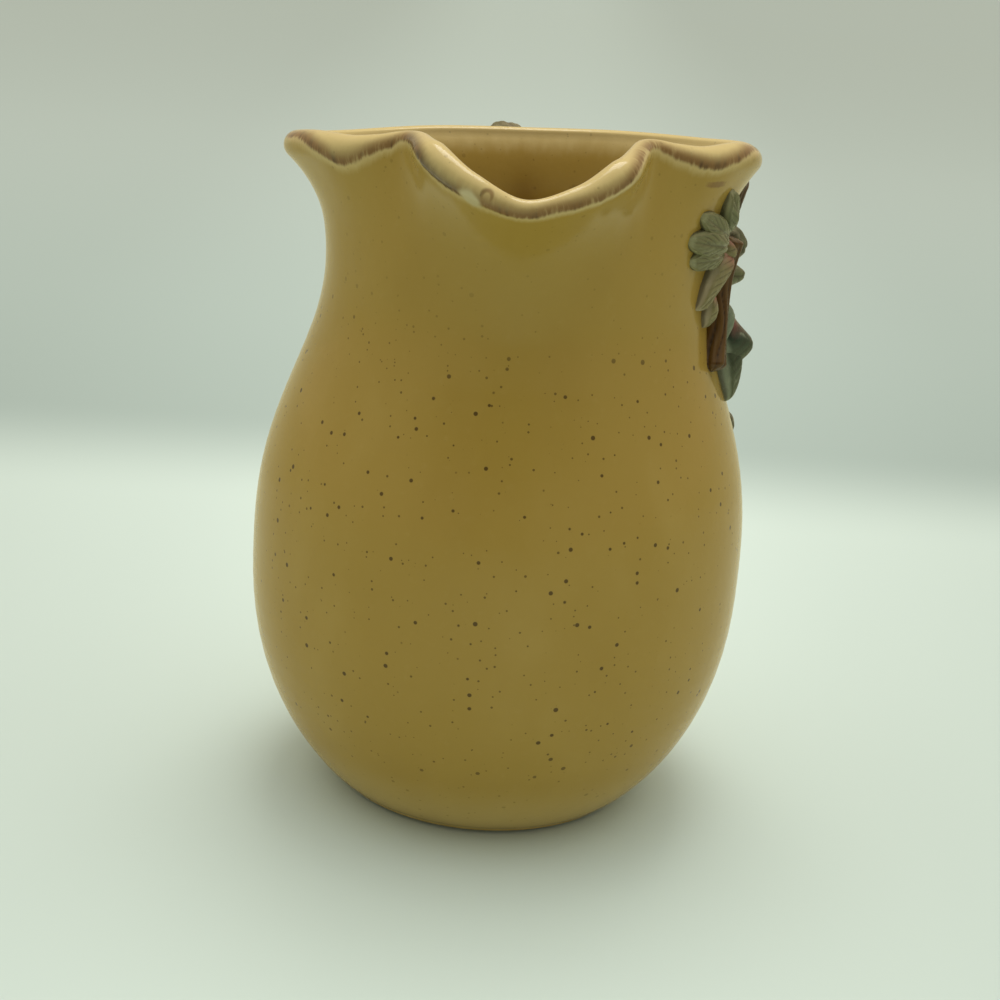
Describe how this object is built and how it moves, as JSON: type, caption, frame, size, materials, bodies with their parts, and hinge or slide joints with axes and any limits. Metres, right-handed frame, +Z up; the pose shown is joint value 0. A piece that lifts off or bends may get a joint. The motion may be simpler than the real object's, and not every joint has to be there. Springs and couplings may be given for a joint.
{
  "type": "pitcher",
  "caption": "Round-bellied earthenware pitcher with a ruffled lip pulled into a V-shaped spout, a branch-like loop handle and a modelled sprig of leaves on one side.",
  "frame": {"origin": "centre of the foot ring's standing face, on the table", "axes": "+Z up through the mouth, -Y towards the spout, +Y towards the handle, +X towards the leaf sprig"},
  "size_m": [0.1658, 0.2186, 0.2308],
  "materials": {
    "glaze": "glossy honey yellow glaze with dark speckles and a cream lip with a broken brown line",
    "bark": "glossy dark olive brown, brushed like bark",
    "stem": "glossy reddish brown, streaked",
    "leaf_light": "glossy grey green with pale edges and pink at the root",
    "leaf_dark": "glossy dark teal green with pale edges and a maroon root"
  },
  "bodies": {
    "root": {"body": "glaze", "handle": "bark", "twig": "bark", "branch": "stem", "upright_leaf": "leaf_light", "side_leaf": "leaf_light", "front_leaf": "leaf_light", "small_leaf": "leaf_light", "back_leaf": "leaf_dark", "round_leaf": "leaf_light", "pendant_leaf": "leaf_dark", "low_leaf": "leaf_dark", "twig_leaf_a": "leaf_light", "twig_leaf_b": "leaf_dark"}
  },
  "joints": []
}
